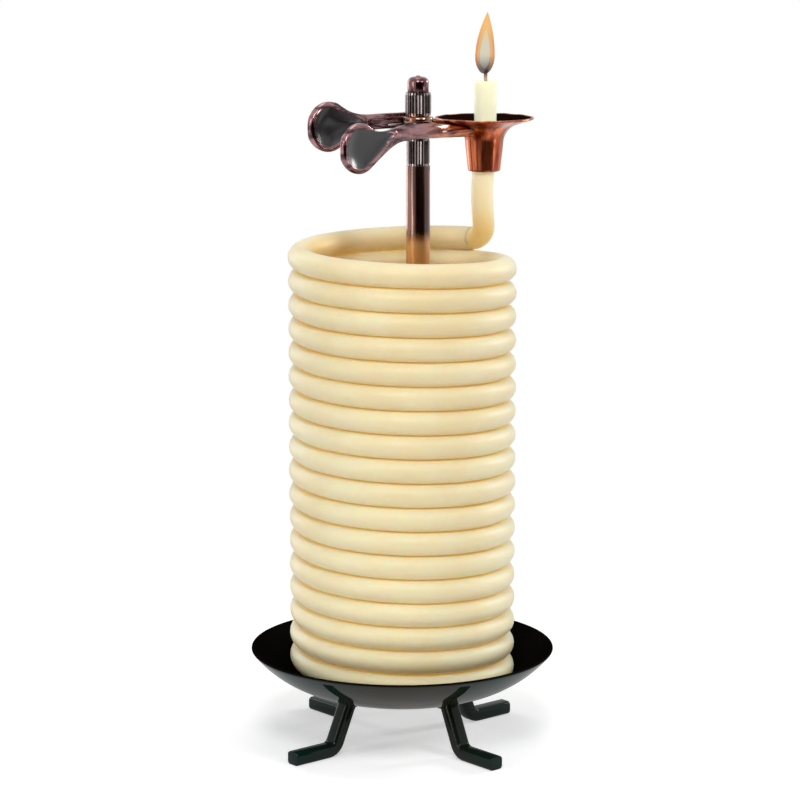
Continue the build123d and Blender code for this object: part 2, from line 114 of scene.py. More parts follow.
# Shader maths on sockets, and one way to add any other node
class Value:
    def __init__(self, shader, socket):
        self.shader, self.socket = shader, socket

    def _math(self, operation, *others):
        return self.shader.add("ShaderNodeMath", {"operation": operation}, [self, *others])

    def __add__(self, other):
        return self._math("ADD", other)

    __radd__ = __add__

    def __mul__(self, other):
        return self._math("MULTIPLY", other)

    __rmul__ = __mul__

    def __sub__(self, other):
        return self._math("SUBTRACT", other)

    def __rsub__(self, other):
        return self.shader.add("ShaderNodeMath", {"operation": "SUBTRACT"}, [other, self])

    def __truediv__(self, other):
        return self._math("DIVIDE", other)

    def arctan2(self, other):
        return self._math("ARCTAN2", other)

    def fraction(self):
        return self._math("FRACT")

    def absolute(self):
        return self._math("ABSOLUTE")

    def step(self, low, high):
        """0 at low and 1 at high, with a soft run between."""
        return self.shader.add(
            "ShaderNodeMapRange",
            {"interpolation_type": "SMOOTHSTEP"},
            {"Value": self, "From Min": low, "From Max": high},
        )


class Shader:
    """A material with one Principled BSDF, whose constant inputs are set by name."""

    def __init__(self, name, **constants):
        self.material = bpy.data.materials.new(name)
        self.material.use_nodes = True
        self.tree = self.material.node_tree
        self.bsdf = self.tree.nodes["Principled BSDF"]
        for label, value in constants.items():
            self.bsdf.inputs[label.replace("_", " ").title().replace("Ior", "IOR")].default_value = value

    def _feed(self, socket, value):
        if isinstance(value, Value):
            self.tree.links.new(value.socket, socket)
        elif isinstance(value, tuple) and len(value) == 3 and socket.type == "RGBA":
            socket.default_value = (*value, 1)
        else:
            socket.default_value = value

    def add(self, kind, settings=None, inputs=None, output=0):
        node = self.tree.nodes.new(kind)
        for name, setting in (settings or {}).items():
            setattr(node, name, setting)
        pairs = inputs.items() if isinstance(inputs, dict) else enumerate(inputs or [])
        for key, value in pairs:
            self._feed(node.inputs[key], value)
        return Value(self, node.outputs[output])

    def feed(self, **inputs):
        for label, value in inputs.items():
            self._feed(self.bsdf.inputs[label.replace("_", " ").title()], value)

    def place(self, scale=(1, 1, 1), centre=(0, 0, 0)):
        coordinate = self.add("ShaderNodeTexCoord", output="Object")
        return self.add(
            "ShaderNodeMapping",
            {},
            {"Vector": coordinate, "Location": tuple(-c * s for c, s in zip(centre, scale)), "Scale": scale},
        )

    def axes(self, vector):
        node = self.tree.nodes.new("ShaderNodeSeparateXYZ")
        self.tree.links.new(vector.socket, node.inputs[0])
        return [Value(self, socket) for socket in node.outputs]

    def noise(self, vector, scale, detail=3.0, roughness=0.5):
        return self.add(
            "ShaderNodeTexNoise",
            {},
            {"Vector": vector, "Scale": scale, "Detail": detail, "Roughness": roughness},
        )

    def attribute(self, name):
        return self.add("ShaderNodeAttribute", {"attribute_name": name}, output="Fac")

    def mix(self, factor, low, high):
        return self.add(
            "ShaderNodeMix",
            {"data_type": "RGBA"},
            {0: factor, 6: low, 7: high},
            output=2,
        )

    def bump(self, height, distance):
        return self.add("ShaderNodeBump", {}, {"Height": height, "Distance": distance * MM, "Strength": 1})


# Finishes
def wax_finish():
    """Pale beeswax, with painted shade and a painted glow in gold in the grooves, a painted glow inside the
    coil and in the bend, and a painted glow from the flame on the tail that turns pale green white up at the
    flame.
    """
    wax = Shader(
        "beeswax",
        ior=1.44,
        subsurface_weight=1.0,
        subsurface_radius=(1.0, 0.7, 0.35),
        subsurface_scale=5 * MM,
        emission_strength=1.0,
    )
    place = wax.place()
    mottle = wax.noise(place, 38, 4)
    fine = wax.noise(place, 420, 5, 0.6)
    # Painted shade and a painted glow: the grooves get a darker gold base colour and a gold emission.
    groove_shade_and_glow = wax.attribute("groove").step(0.8, 1.0) * 0.6
    painted_glow, glow = wax.attribute("painted_glow"), wax.attribute("glow")
    cream = wax.mix(mottle.step(0.35, 0.7), (0.93, 0.82, 0.55), (0.89, 0.76, 0.47))
    # Painted glow: a deeper gold base colour inside the coil and in the bend, where light comes through the
    # wax.
    cream_with_painted_glow = wax.mix(painted_glow, cream, (0.72, 0.44, 0.02))
    rise = wax.axes(place)[2].step((COIL_TOP_Z + 4) * MM, (CUP_BOTTOM_Z + 20) * MM)
    # Painted glow on the tail from the flame's light: brown gold low down, pale green white up at the flame.
    through = wax.mix(rise, (0.09, 0.05, 0.0), (0.30, 0.34, 0.27))
    # Painted glow: gold emission in the grooves and where light comes through the coil and the bend.
    painted_glow_colour = wax.mix(groove_shade_and_glow, wax.mix(painted_glow, (0, 0, 0), (0.10, 0.06, 0.0)), (0.16, 0.11, 0.03))
    wax.feed(
        base_color=wax.mix(groove_shade_and_glow, cream_with_painted_glow, (0.84, 0.64, 0.27)),
        emission_color=wax.mix(glow, painted_glow_colour, through),
        roughness=0.36 + fine * 0.16,
        normal=wax.bump(mottle * 0.7 + fine * 0.12, 0.35),
    )
    return wax.material


def enamel_finish():
    """Black enamel: dull inside the dish, and gloss outside, with a painted brown reflection of the floor in
    the middle and green at the sides.
    """
    enamel = Shader("black_enamel", specular_ior_level=0.0, coat_roughness=0.04)
    place = enamel.place()
    cloud = enamel.noise(place, 30, 3)
    peel = enamel.noise(place, 260, 2)
    outside = enamel.attribute("outside")
    black = enamel.mix(cloud, (0.002, 0.002, 0.002), (0.006, 0.005, 0.005))
    # Painted reflection: brown across the middle, where the floor in front is reflected; the sides keep the
    # green enamel colour.
    side = enamel.axes(place)[0].absolute().step(*(x * MM for x in REFLECTION_GLAZE_X))
    reflection_and_glaze = enamel.mix(side, (0.018, 0.014, 0.006), (0.003, 0.022, 0.017))
    enamel.feed(
        base_color=enamel.mix(outside, black, reflection_and_glaze),
        coat_weight=outside * 0.5,
        roughness=0.3 + cloud * 0.12 + outside * -0.16,
        normal=enamel.bump(peel, 0.05),
    )
    return enamel.material


REFLECTION_SPAN = 3  # half the height over which the painted reflection of the wax fades


def copper_finish(name, dark, bright, worn=0.5, streak=(60, 60, 60), rough=0.2, coat=0.3, painted_wax_reflection=None):
    """Copper plating, darkened and rubbed back in streaks. The painted wax reflection is a height and two
    colours for below it, a painted reflection of the wax on the lower part.
    """
    copper = Shader(name, specular_ior_level=0.0, coat_roughness=0.05)
    rubbed = copper.noise(copper.place(streak), 1, 5, 0.6).step(worn - 0.16, worn + 0.18)
    place = copper.place()
    grain = copper.noise(place, 500, 4)
    inside = copper.attribute("inside")
    plated = copper.mix(rubbed, dark, bright)
    dull = inside * 0.35
    if painted_wax_reflection:
        # Painted reflection: below the height the copper takes the wax's gold colours.
        top, *colours = painted_wax_reflection
        ragged = copper.axes(place)[2] + rubbed * REFLECTION_SPAN * MM
        below = 1.0 - ragged.step((top - REFLECTION_SPAN) * MM, (top + REFLECTION_SPAN) * MM)
        plated = copper.mix(below, plated, copper.mix(rubbed, *colours))
        dull = dull + below * 0.22
    copper.feed(
        base_color=copper.mix(inside, plated, (0.010, 0.004, 0.003)),
        metallic=1.0 - inside,
        coat_weight=coat - inside * coat,
        roughness=rough + dull + rubbed * -0.06 + grain * 0.08,
        normal=copper.bump(rubbed * 0.5 + grain * 0.25, 0.08),
    )
    return copper.material


def sleeve_finish():
    """Darkened copper, with a painted highlight on each ridge and painted shade between them, one stripe to
    each ridge.
    """
    copper = Shader("sleeve_copper", metallic=1.0, coat_weight=0.2)
    x, y = copper.axes(copper.place(centre=(POST_X * MM, 0, 0)))[:2]
    round_post = y.arctan2(x) * (FLUTES / math.tau)
    # Painted highlight on each crest and painted shade in each flute.
    ridge = ((round_post.fraction() - 0.5).absolute() * 2).step(0.3, 0.85)
    wear = copper.noise(copper.place((500, 500, 60)), 1, 4)
    copper.feed(
        base_color=copper.mix(ridge * (0.6 + wear * 0.5), (0.03, 0.018, 0.018), (0.50, 0.43, 0.41)),
        roughness=0.28 + wear * 0.12,
        normal=copper.bump(wear, 0.05),
    )
    return copper.material


def lever_finish():
    """Cast copper: plum at the pads, orange towards the socket, with grey bowls in the pads."""
    copper = Shader("cast_copper", coat_roughness=0.05)
    place = copper.place()
    along = copper.attribute("along").step(-6.0, 10.0)
    hollow, bowl = copper.attribute("hollow"), copper.attribute("bowl")
    cloud = copper.noise(copper.place((90, 90, 420)), 1, 4, 0.55).step(0.36, 0.62)
    plum = copper.mix(cloud, (0.045, 0.018, 0.023), (0.32, 0.165, 0.17))
    orange = copper.mix(cloud, (0.09, 0.018, 0.009), (0.52, 0.19, 0.085))
    metal = copper.mix(along, plum, orange)
    grain = copper.noise(place, 600, 4)
    copper.feed(
        base_color=copper.mix(hollow, metal, (0.028, 0.026, 0.028)),
        metallic=1.0 - hollow * 0.75,
        coat_weight=0.35 - hollow * 0.15,
        roughness=0.16 + hollow * 0.03 + grain * 0.06,
        normal=copper.bump((1.0 - hollow) * (cloud * 0.06 + grain * 0.02) - bowl * hollow, 0.5),
    )
    return copper.material


def steel_finish():
    """Plain turned steel."""
    steel = Shader("plain_steel", metallic=1.0)
    cloud = steel.noise(steel.place(), 120, 4)
    steel.feed(
        base_color=steel.mix(cloud, (0.3, 0.3, 0.31), (0.55, 0.54, 0.53)),
        roughness=0.25 + cloud * 0.15,
    )
    return steel.material


def wick_finish():
    """Cotton, charred towards its tip."""
    cotton = Shader("charred_cotton", roughness=0.9)
    up = cotton.axes(cotton.place())[2]
    char = up.step((TAIL_TOP_Z + 0.8) * MM, (TAIL_TOP_Z + 4) * MM)
    braid = cotton.noise(cotton.place((1, 1, 0.4)), 1800, 2)
    cotton.feed(
        base_color=cotton.mix(char, (0.5, 0.36, 0.2), (0.015, 0.011, 0.01)),
        normal=cotton.bump(braid, 0.2),
    )
    return cotton.material


def flame_finish(name, low, middle, high, opacity, strength):
    """One shell of a still flame, which glows and lets the shells inside it show through."""
    flame = Shader(
        name,
        base_color=(0, 0, 0, 1),
        roughness=1.0,
        specular_ior_level=0,
        emission_strength=strength,
        alpha=opacity,
    )
    up = flame.axes(flame.place())[2]
    rise = (up - FLAME_BASE_Z * MM) / ((FLAME_TIP_Z - FLAME_BASE_Z) * MM)
    body = flame.mix(rise.step(0.04, 0.36), low, middle)
    flame.feed(emission_color=flame.mix(rise.step(0.45, 0.85), body, high))
    return flame.material


# Ways to make a shape
def add_piece(name, bm, body, material, replaces=(), crease=50):
    """Turns a bmesh in millimetres into a piece in metres that rides on a body."""
    bmesh.ops.scale(bm, vec=(MM, MM, MM), verts=bm.verts)
    mesh = bpy.data.meshes.new(name)
    bm.to_mesh(mesh)
    bm.free()
    mesh.materials.append(material)
    mesh.shade_smooth()
    mesh.set_sharp_from_angle(angle=math.radians(crease))
    piece = bpy.data.objects.new(name, mesh)
    bpy.context.scene.collection.objects.link(piece)
    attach(piece, body)
    if replaces:
        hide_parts(*replaces)
    return piece


def close(bm):
    """Merges what coincides and turns every face outwards."""
    bmesh.ops.remove_doubles(bm, verts=bm.verts, dist=MERGE)
    bmesh.ops.recalc_face_normals(bm, faces=bm.faces)


def arc(centre, radius, start, end, steps):
    """Points on an arc, angles in degrees."""
    angles = [math.radians(start + (end - start) * step / steps) for step in range(steps + 1)]
    return [(centre[0] + radius * math.cos(a), centre[1] + radius * math.sin(a)) for a in angles]


def lathe(profile, centre=(0, 0), steps=128, closed=True, start=0.0, sweep=360.0):
    """Spins a profile of (radius, height) points about an upright axis."""
    bm = bmesh.new()
    corners = [bm.verts.new((radius, 0, height)) for radius, height in profile]
    loop = corners + corners[:1] if closed else corners
    edges = [bm.edges.new(pair) for pair in zip(loop, loop[1:])]
    bmesh.ops.rotate(bm, verts=bm.verts, cent=(0, 0, 0), matrix=Matrix.Rotation(math.radians(start), 3, "Z"))
    bmesh.ops.spin(
        bm,
        geom=corners + edges,
        cent=(0, 0, 0),
        axis=(0, 0, 1),
        angle=math.radians(sweep),
        steps=steps,
        use_merge=sweep == 360,
    )
    bmesh.ops.translate(bm, vec=(centre[0], centre[1], 0), verts=bm.verts)
    if sweep != 360:
        bmesh.ops.holes_fill(bm, edges=[edge for edge in bm.edges if edge.is_boundary])
    close(bm)
    return bm


def ring(bm, corners):
    """A closed loop of edges through points."""
    verts = [bm.verts.new(corner) for corner in corners]
    return [bm.edges.new(pair) for pair in zip(verts, verts[1:] + verts[:1])]


def carry(bm, edges, stations):
    """Extrudes a loop from each station's place to the next, and closes both ends."""
    first = edges
    for here, there in zip(stations, stations[1:]):
        made = bmesh.ops.extrude_edge_only(bm, edges=edges)["geom"]
        verts = [item for item in made if isinstance(item, bmesh.types.BMVert)]
        edges = [item for item in made if isinstance(item, bmesh.types.BMEdge)]
        edges = [edge for edge in edges if all(vert in verts for vert in edge.verts)]
        bmesh.ops.transform(bm, matrix=there @ here.inverted(), verts=verts)
    for end in (first, edges):
        bmesh.ops.edgeloop_fill(bm, edges=end)
    close(bm)


def station(point, forward, side):
    """A frame at a point whose Z runs forward and whose X runs to the side."""
    forward = forward.normalized()
    up = forward.cross(side).normalized()
    turn = Matrix((up.cross(forward), up, forward)).transposed()
    return Matrix.Translation(point) @ turn.to_4x4()


def bent_path(points, radius, steps=8):
    """Points and headings along straight runs joined by one arc at each inner point."""
    places = [(points[0], points[1] - points[0])]
    for before, corner, after in zip(points, points[1:], points[2:]):
        into, out = (corner - before).normalized(), (after - corner).normalized()
        half = into.angle(out) / 2
        trim = radius * math.tan(half)
        middle = corner + (out - into).normalized() * (radius / math.cos(half))
        start = corner - into * trim
        axis = into.cross(out).normalized()
        for step in range(steps + 1):
            turn = Matrix.Rotation(2 * half * step / steps, 3, axis)
            places.append((middle + turn @ (start - middle), turn @ into))
    places.append((points[-1], points[-1] - points[-2]))
    return places


def rounded_bar(width, thick, radius, steps=4):
    """The section of a bar with rounded corners."""
    x, y = width / 2 - radius, thick / 2 - radius
    corners = [(x, y, 0), (-x, y, 90), (-x, -y, 180), (x, -y, 270)]
    return [
        Vector((*point, 0))
        for *centre, turn in corners
        for point in arc(centre, radius, turn, turn + 90, steps)
    ]


def round_section(radius, sides):
    """A round section as an even ring of points."""
    return [Vector((*point, 0)) for point in arc((0, 0), radius, 0, 360 - 360 / sides, sides - 1)]


def swept(section, places, side, bm=None):
    """Carries a section along places with headings, in a new bmesh unless one is given."""
    if bm is None:
        bm = bmesh.new()
    stations = [station(point, heading, side) for point, heading in places]
    edges = ring(bm, [stations[0] @ corner for corner in section])
    carry(bm, edges, stations)
    return bm


def measure(piece, name, value):
    """Stores a value from 0 to 1 on each point of a piece, worked out from its place and its normal."""
    values = [min(1.0, max(0.0, value(vert.co / MM, vert.normal))) for vert in piece.data.vertices]
    piece.data.attributes.new(name, "FLOAT", "POINT").data.foreach_set("value", values)


# Dish
def drip_dish(material):
    """Pressed dish with a flat middle, a wall on one arc and a rolled lip."""
    rise, reach = RIM_Z - DISH_BASE_Z, RIM_R - DISH_FLAT_R
    bend = (reach**2 + rise**2) / (2 * rise)
    slope = math.degrees(math.asin(reach / bend))
    centre = (DISH_FLAT_R, DISH_BASE_Z + bend)
    under = arc(centre, bend, -90, slope - 90, 24)
    inside = arc(centre, bend - DISH_SHEET, slope - 90, -90, 24)
    lip_centre = ((under[-1][0] + inside[0][0]) / 2, (under[-1][1] + inside[0][1]) / 2)
    lip = arc(lip_centre, DISH_SHEET / 2, slope - 90, slope + 90, 6)[1:-1]
    profile = [(0, DISH_BASE_Z), *under, *lip, *inside, (0, DISH_BASE_Z + DISH_SHEET)]
    piece = add_piece("dish", lathe(profile), "stand", material, ["drip_dish"])
    measure(piece, "outside", lambda point, normal: -2 * normal.z)


def leg(side, angle, material):
    """Bent square bar from under the dish to the toe, with the flat tab that its rivet holds."""
    out = polar(1, angle)
    points = [
        out * LEG_TOP_R + Vector((0, 0, DISH_BASE_Z - LEG_SINK)),
        out * LEG_HEEL_R + Vector((0, 0, LEG_BAR / 2)),
        out * LEG_TOE_R + Vector((0, 0, LEG_BAR / 2)),
    ]
    bm = swept(rounded_bar(LEG_WIDE, LEG_BAR, LEG_ROUND), bent_path(points, LEG_BEND), polar(1, angle + 90))
    toe = max(bm.faces, key=lambda face: face.calc_center_median().dot(out))
    bmesh.ops.bevel(
        bm, geom=list(toe.edges), offset=TOE_BEVEL, segments=3, profile=0.5, affect="EDGES", material=-1
    )
    reach = (TAB_LENGTH - TAB_WIDTH) / 2
    slot = arc((reach, 0), TAB_WIDTH / 2, -90, 90, 12) + arc((-reach, 0), TAB_WIDTH / 2, 90, 270, 12)
    up = Vector((0, 0, 1))
    tab = [(out * TAB_R + up * z, up) for z in (DISH_BASE_Z - TAB_THICK, DISH_BASE_Z)]
    swept([Vector((*corner, 0)) for corner in slot], tab, out, bm)
    piece = add_piece(f"bent_leg_{side}", bm, "stand", material, [f"leg_{side}"])
    # The legs take 0.65 of the dish's outside finish, its painted brown reflection in the middle and green
    # at the sides included.
    measure(piece, "outside", lambda point, normal: LEG_SHINE)


# Wax rope
def coil_groove(point, normal):
    """1 in the groove between two turns and 0 on the crown of a turn."""
    angle = math.degrees(math.atan2(point.y, point.x))
    turns = (point.z - COIL_BASE_Z) / COIL_PITCH + (angle - COIL_END_ANGLE) / 360
    free = 0  # the last turn has no turn above it
    if turns > COIL_TURNS - FREE_SHARE:
        free = (point.z - COIL_TOP_Z + FREE_RISE) / FREE_RISE
    return abs(turns - round(turns)) * 2 - max(0.0, free)


def coil_painted_glow(point, normal):
    """Painted glow: deeper gold colour and emission inside the coil, most at the left, where the light comes
    through the free turn.
    """
    inwards = -(normal.x * point.x + normal.y * point.y) / COIL_R
    return (inwards - 0.15) * max(0.12, -1.5 * point.x / COIL_R - 0.5)


def wax_coil(material):
    """One turn of a helix, repeated for each turn and merged, so the rope is one closed skin."""
    bm = bmesh.new()
    outward = polar(1, COIL_END_ANGLE)
    middle = outward * COIL_R + Vector((0, 0, COIL_BASE_Z))
    section = [
        middle + outward * corner.x + Vector((0, 0, corner.y))
        for corner in round_section(ROPE_R, ROPE_SIDES)
    ]
    bmesh.ops.spin(
        bm,
        geom=ring(bm, section) + list(bm.verts),
        cent=(0, 0, 0),
        axis=(0, 0, -1),
        dvec=(0, 0, COIL_PITCH / COIL_STEPS),
        angle=math.tau,
        steps=COIL_STEPS,
    )
    turn = list(bm.verts) + list(bm.edges) + list(bm.faces)
    for count in range(1, COIL_TURNS):
        copied = bmesh.ops.duplicate(bm, geom=turn)["geom"]
        moved = [item for item in copied if isinstance(item, bmesh.types.BMVert)]
        bmesh.ops.translate(bm, vec=(0, 0, COIL_PITCH * count), verts=moved)
    bmesh.ops.remove_doubles(bm, verts=bm.verts, dist=MERGE)
    bmesh.ops.holes_fill(bm, edges=[edge for edge in bm.edges if edge.is_boundary])
    close(bm)
    for vert in bm.verts:
        soft = noise.noise(Vector((vert.co.x, vert.co.y, vert.co.z * WOBBLE_FLATTEN)) * WOBBLE_SCALE)
        out = Vector((vert.co.x, vert.co.y, 0)).normalized()
        vert.co += out * soft * ROPE_WOBBLE
    piece = add_piece("wax_rope_coil", bm, "stand", material, ["wax_coil"])
    measure(piece, "groove", coil_groove)
    measure(piece, "painted_glow", coil_painted_glow)


def wax_tail(material):
    """The free end of the rope: out of the coil, up through the bend and the cup, to the melted tip."""
    out = polar(1, COIL_END_ANGLE)
    leave = polar(1, COIL_END_ANGLE - 90)
    start = out * COIL_R + Vector((0, 0, COIL_TOP_Z))
    foot = Vector((SOCKET.x, SOCKET.y, COIL_TOP_Z + 0.3))
    points = [start - leave * 0.5, foot, Vector((SOCKET.x, SOCKET.y, TAIL_TOP_Z))]
    path = bent_path(points, BEND_R - 0.2, 12)
    low, high = path[-2][0], path[-1][0]
    path[-1:-1] = [(low.lerp(high, step / TAIL_STEPS), path[-1][1]) for step in range(1, TAIL_STEPS)]
    bm = swept(round_section(TAIL_R, ROPE_SIDES), path, out)
    top = max(bm.faces, key=lambda face: face.calc_center_median().z)
    for inset, lift in TIP_STEPS:
        bmesh.ops.inset_region(bm, faces=[top], thickness=inset)
        bmesh.ops.translate(bm, verts=top.verts, vec=(0, 0, lift))
    close(bm)
    for vert in bm.verts:
        if vert.co.z > TAIL_TOP_Z - 0.1:
            vert.co.z += TIP_WAVE * noise.noise(Vector((vert.co.x, vert.co.y, 0)) * 0.7)
        vert.co.x -= LEAN * math.exp(-(((vert.co.z - LEAN_Z) / LEAN_SPAN) ** 2))
    piece = add_piece("wax_rope_tail", bm, "stand", material, ["wax_tail"])
    # Painted glow in the bend, brightest just above the coil's end.
    bend_z = COIL_TOP_Z + BEND_GLOW_Z
    measure(piece, "painted_glow", lambda point, normal: 0.5 - abs(point.z - bend_z) / BEND_GLOW_SPAN)
    # Painted glow from the flame on the tail, full on its right side and fading towards its left.
    measure(piece, "glow", lambda point, normal: (point.x - SOCKET.x + 12) / 10)


# Clip
def lever(side, mid_z, pad_drop, tip_drop, material):
    """A cast lever: a closed skin whose section changes from the finger pad to the tip under the saucer."""
    v_sign = SIDE_SIGN[side]
    splay = math.atan2(PAD_V - ARM_V, PAD_U)
    pad_x, pad_z = math.hypot(PAD_U, PAD_V - ARM_V), mid_z - pad_drop
    lean = math.radians(NECK_ANGLE)
    join_x = pad_x + PAD_R * math.cos(lean)
    join_rise = PAD_R * math.sin(lean)
    join_slope = -1 / math.tan(lean)
    tip_x = SOCKET_U - TIP_SHORT

    def edge(x, up):
        """Height of the upper (up 1) or lower (up -1) edge at a place along the lever, pad side positive."""
        if x >= join_x:
            return pad_z + up * math.sqrt(max(0, PAD_R**2 - (x - pad_x) ** 2))
        if x > NECK_START_U:
            span = join_x - NECK_START_U
            t = (x - NECK_START_U) / span
            h0, h1, slope = mid_z + up * ARM_H / 2, pad_z + up * join_rise, up * join_slope * span
            return h0 * (2 * t**3 - 3 * t**2 + 1) + h1 * (3 * t**2 - 2 * t**3) + slope * (t**3 - t**2)
        if x > 0:
            return mid_z + up * ARM_H / 2
        share = min(1, -x / tip_x)
        half = (ARM_H + (TIP_H - ARM_H) * share) / 2
        return mid_z - tip_drop * share + up * half

    def hollow(x, z):
        """How far inside the pad's teardrop hollow a point is, in millimetres."""
        start, end = Vector((HOLLOW_U, mid_z)), Vector((pad_x, pad_z))
        run = end - start
        share = max(0.0, min(1.0, (Vector((x, z)) - start).dot(run) / run.length_squared))
        return (PAD_R - PAD_RIM) * share**0.75 - (Vector((x, z)) - start - run * share).length

    bm = bmesh.new()
    bmesh.ops.create_grid(bm, x_segments=LEVER_GRID[0], y_segments=LEVER_GRID[1], size=1)
    lay_hollow = bm.verts.layers.float.new("hollow")
    lay_bowl = bm.verts.layers.float.new("bowl")
    lay_along = bm.verts.layers.float.new("along")
    far = pad_x + PAD_R
    run, dense = far + tip_x, PAD_GRID_SHARE
    for vert in bm.verts:
        share = (vert.co.x + 1) / 2
        turn = (vert.co.y + 1) * math.pi
        x = far - run * share
        if share < dense:
            x = far - run * dense * (1 - math.cos(share / dense * math.pi / 2))
        low, high = edge(x, -1), edge(x, 1)
        pad = max(0.0, min(1.0, (x - NECK_U) / SECTION_SPAN))
        blunt = 2 / (ARM_SQUARE + pad)
        cos, sin = math.cos(turn), math.sin(turn)
        z = (low + high) / 2 + (high - low) / 2 * math.copysign(abs(cos) ** blunt, cos)
        half = ARM_THICK / 2 * (1 + 0.1 * pad)
        rim = min(1.0, max(0.02, far - x) / END_ROUND) ** 0.5
        across = half * rim * abs(sin) ** blunt
        deep = hollow(x, z)
        bowl = 1 - (1 - max(0.0, min(1.0, (deep - 0.1) / BOWL_SPAN))) ** 2
        if abs(sin) > 0.3:
            raised = sum(lift * math.exp(-(((deep - middle) / wide) ** 2)) for lift, middle, wide in BEADS)
            across = max(0.3, across - bowl) + raised
        plain = max(0.0, min(1.0, (-deep - RIPPLE_FADE) / 2))
        ripple = CAST_RIPPLE * plain * noise.noise(Vector((x * 0.11, z * 0.75, v_sign * 3)))
        offset = ARM_V + x * math.tan(splay)
        if x < 0:
            inward = min(1, -x / tip_x)
            offset = ARM_V + (TIP_V - ARM_V) * inward * inward * (3 - 2 * inward)
        v = v_sign * offset + math.copysign(across * (1 + ripple), sin)
        place = POST - ALONG * x + ACROSS * v
        vert.co = Vector((place.x, place.y, z + ripple * 0.7))
        vert[lay_hollow] = max(0.0, min(1.0, (deep - 0.1) / 0.4))
        vert[lay_bowl] = bowl
        vert[lay_along] = -x
    bmesh.ops.remove_doubles(bm, verts=bm.verts, dist=LEVER_MERGE)
    bmesh.ops.holes_fill(bm, edges=[edge for edge in bm.edges if edge.is_boundary])
    close(bm)
    add_piece(f"{side}_lever_skin", bm, f"{side}_jaw", material, [f"{side}_lever"])


def eye(side, z, material):
    """Flat eye that turns on the stem, with softened rims."""
    top, flat_r = z + EYE_H, EYE_R - EYE_EDGE
    profile = [(EYE_BORE_R, z), (flat_r, z), (EYE_R, z + EYE_EDGE)]
    profile += [(EYE_R, top - EYE_EDGE), (flat_r, top), (EYE_BORE_R, top)]
    add_piece(f"{side}_eye", lathe(profile, POST.xy, 64), f"{side}_jaw", material)


def socket_half(side, material):
    """Half of the cup and saucer, spun from the section that grips the rope."""
    v_sign = SIDE_SIGN[side]
    floor_z = SAUCER_Z - SAUCER_DEPTH
    pitch = SAUCER_DEPTH / (SAUCER_R - GRIP_R)
    slope = math.atan(pitch)
    flare_r = CUP_TOP_R + FLARE_BEND * (1 - math.sin(slope))
    flare_z = SAUCER_Z - SAUCER_SHEET - (SAUCER_R - flare_r) * pitch
    bend = (CUP_TOP_R + FLARE_BEND, flare_z - FLARE_BEND * math.cos(slope))
    outside = [(CUP_BOTTOM_R - 0.9, CUP_BOTTOM_Z)]
    outside += arc((CUP_BOTTOM_R - 0.8, CUP_BOTTOM_Z + 0.8), 0.85, -80, 0, 6)
    outside += arc(bend, FLARE_BEND, 180, 90 + math.degrees(slope), 12)
    outside += [(SAUCER_R - 0.4, SAUCER_Z - SAUCER_SHEET)]
    lip = arc((SAUCER_R - LIP_R, SAUCER_Z - LIP_R), LIP_R, -60, 90, 6)
    inside = [(SAUCER_R - 1.5, SAUCER_Z - 0.25), (GRIP_R + 0.6, floor_z + 0.1), (GRIP_R, floor_z - 0.4)]
    profile = [*outside, *lip, *inside, (GRIP_R, CUP_BOTTOM_Z + 0.2), (GRIP_R + 0.3, CUP_BOTTOM_Z)]
    start = CLIP_ANGLE + (0 if v_sign > 0 else 180)
    bm = lathe(profile, steps=96, start=start, sweep=180.0)
    for vert in bm.verts:
        rim = max(0.0, math.hypot(vert.co.x, vert.co.y) - flare_r) / (SAUCER_R - flare_r)
        turn = math.atan2(vert.co.y, vert.co.x)
        vert.co.z += RIM_WAVE * rim * noise.noise(Vector((math.cos(turn), math.sin(turn), v_sign)) * 3)
    middle = SOCKET - Vector((CUP_SHIFT, 0, 0))
    bmesh.ops.translate(bm, vec=middle + ACROSS * (v_sign * SPLIT / 2), verts=bm.verts)
    cad_node = f"{side}_socket_half"
    piece = add_piece(f"{side}_cup", bm, f"{side}_jaw", material, [cad_node], crease=35)
    measure(
        piece,
        "inside",
        lambda point, normal: 3 * normal.z if (point - middle).xy.length < LINED_R else 0,
    )


def dome_cap(material):
    """Cap with a rounded shoulder and a small crown, hollow over the end of the stem."""
    top = CAP_Z + CAP_H
    profile = [(CAP_BORE_R, CAP_Z), (CAP_R - 0.25, CAP_Z), (CAP_R, CAP_Z + 0.25), (CAP_R, top - 2.9)]
    profile += arc((CAP_R - CAP_SHOULDER, top - 2.9), CAP_SHOULDER, 0, 80, 10)
    profile += [(0.9, top - 0.38), (0.7, top - 0.08), (0, top)]
    profile += [(0, top - 2), (CAP_BORE_R, top - 2)]
    add_piece("domed_cap", lathe(profile, POST.xy, 64), "clip", material, ["dome_cap"])


def flame(name, radius, base_z, tip_z, material):
    """One shell: widest low down, blunt at the wick and pointed above, leaning a little."""
    profile = []
    for step in range(FLAME_STEPS + 1):
        share = step / FLAME_STEPS
        bulge = 1 - max(0.0, (share - FLAME_WIDE) / (1 - FLAME_WIDE)) ** 1.9
        if share < FLAME_WIDE:
            bulge = math.sin(math.pi / 2 * share / FLAME_WIDE) ** 0.5
        profile.append((radius * bulge, base_z + (tip_z - base_z) * share))
    profile[0], profile[-1] = (0, base_z), (0, tip_z)
    bm = lathe(profile, steps=48, closed=False)
    for vert in bm.verts:
        rise = (vert.co.z - FLAME_BASE_Z) / (FLAME_TIP_Z - FLAME_BASE_Z)
        vert.co.x += FLAME_LEAN * rise * rise - FLAME_SHIFT
    bmesh.ops.translate(bm, vec=(SOCKET.x, SOCKET.y, 0), verts=bm.verts)
    piece = add_piece(name, bm, "stand", material)
    piece.visible_shadow = False


